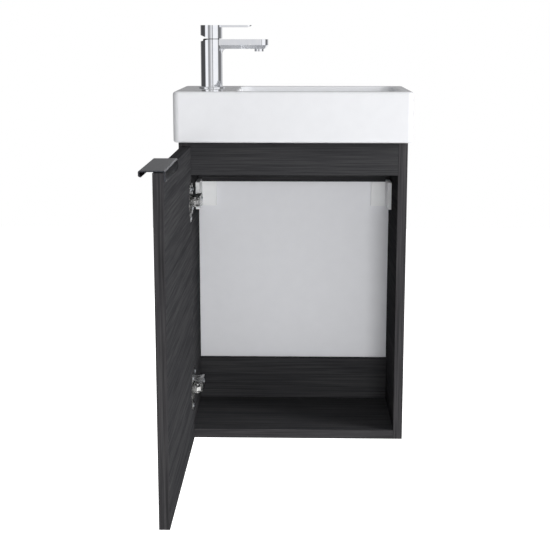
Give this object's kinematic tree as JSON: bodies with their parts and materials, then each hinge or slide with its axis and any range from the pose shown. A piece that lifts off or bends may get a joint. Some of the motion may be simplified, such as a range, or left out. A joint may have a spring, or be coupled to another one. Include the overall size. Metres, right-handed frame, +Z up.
{
  "type": "vanity unit",
  "caption": "Wall-hung vanity unit: dark wood-decor cabinet with one hinged door and folded edge pull, white ceramic washbasin with side tap deck, and chrome lever mixer.",
  "frame": {"origin": "centre of the rectangle of four wall screws that the unit hangs on, on the wall plane and the cabinet's centreline", "axes": "+X to the right as seen from the front, +Y into the wall, +Z up; the front faces -Y"},
  "size_m": [0.4075, 0.5868, 0.716],
  "materials": {
    "anthracite_board": "dark grey oak decor, matt, fine line grain",
    "white_board": "thin white painted board",
    "beech": "plain beech",
    "white_plastic": "white moulded, satin",
    "zinc_steel": "bright zinc plated",
    "nickel_steel": "nickel plated",
    "dark_metal": "dark anthracite coated sheet, satin",
    "white_ceramic": "white glaze",
    "chrome": "polished chrome",
    "dark_plastic": "dark moulded",
    "brass": "turned",
    "rubber": "black"
  },
  "bodies": {
    "root": {"side_panel_left": "anthracite_board", "side_panel_right": "anthracite_board", "bottom_panel": "anthracite_board", "front_rail": "anthracite_board", "rear_rail_upper": "anthracite_board", "rear_rail_lower": "anthracite_board", "back_panel": "white_board", "carcass_dowels": "beech", "hanger_cover_left": "white_plastic", "hanger_cover_right": "white_plastic", "hanger_bracket_left": "zinc_steel", "hanger_bracket_right": "zinc_steel", "wall_plate_left": "zinc_steel", "wall_plate_right": "zinc_steel", "hanger_screws": "zinc_steel", "plate_screws": "zinc_steel", "arm_screws": "zinc_steel", "tap_stud": "zinc_steel", "tap_clamp_washer": "zinc_steel", "tap_stud_nut": "zinc_steel", "outer_link_lower": "nickel_steel", "outer_link_upper": "nickel_steel", "hinge_arm_lower": "nickel_steel", "hinge_arm_upper": "nickel_steel", "mounting_plate_lower": "nickel_steel", "mounting_plate_upper": "nickel_steel", "arm_pins": "nickel_steel", "basin": "white_ceramic", "tap_body": "chrome", "tap_base_ring": "chrome", "tap_aerator": "chrome", "waste_body": "chrome", "tap_aerator_insert": "dark_plastic", "tap_cartridge": "dark_plastic", "waste_nut": "dark_plastic", "tap_clamp_nut": "brass", "waste_gasket": "rubber", "tap_clamp_rubber": "rubber"},
    "door": {"door_panel": "anthracite_board", "door_handle": "dark_metal", "handle_screws": "zinc_steel", "cup_screws": "zinc_steel", "hinge_pivot_pins": "nickel_steel", "hinge_cup_lower": "nickel_steel", "hinge_cup_upper": "nickel_steel"},
    "inner_links": {"inner_link_lower": "nickel_steel", "inner_link_upper": "nickel_steel"},
    "lever_guide": {"tap_collar": "dark_plastic"},
    "lever": {"tap_lever": "chrome", "tap_stem": "brass", "tap_lever_screw": "zinc_steel", "tap_lift_pin": "zinc_steel"},
    "plug": {"waste_plug": "chrome"}
  },
  "joints": [
    {"name": "door_swing", "type": "hinge", "parent": "root", "child": "door", "pos_m": [-0.18195, -0.2139, -0.154], "axis": [0, 0, -1], "range_deg": [-90, 5]},
    {"name": "inner_links_turn", "type": "hinge", "parent": "root", "child": "inner_links", "pos_m": [-0.16607, -0.20783, -0.154], "axis": [0, 0, 1], "range_deg": [-30.6, 1.8]},
    {"name": "lever_turn", "type": "hinge", "parent": "root", "child": "lever_guide", "pos_m": [-0.145, -0.079, 0.2845], "axis": [0, 0, 1], "range_deg": [-45, 45]},
    {"name": "lever_lift", "type": "hinge", "parent": "lever_guide", "child": "lever", "pos_m": [-0.145, -0.079, 0.2845], "axis": [0, -1, 0], "range_deg": [0, 22]},
    {"name": "plug_rise", "type": "slide", "parent": "root", "child": "plug", "axis": [0, 0, 1], "range_m": [0, 0.009]}
  ],
  "couplings": [
    {"joint": "inner_links_turn", "follows": "door_swing", "ratio": 0.33869}
  ]
}
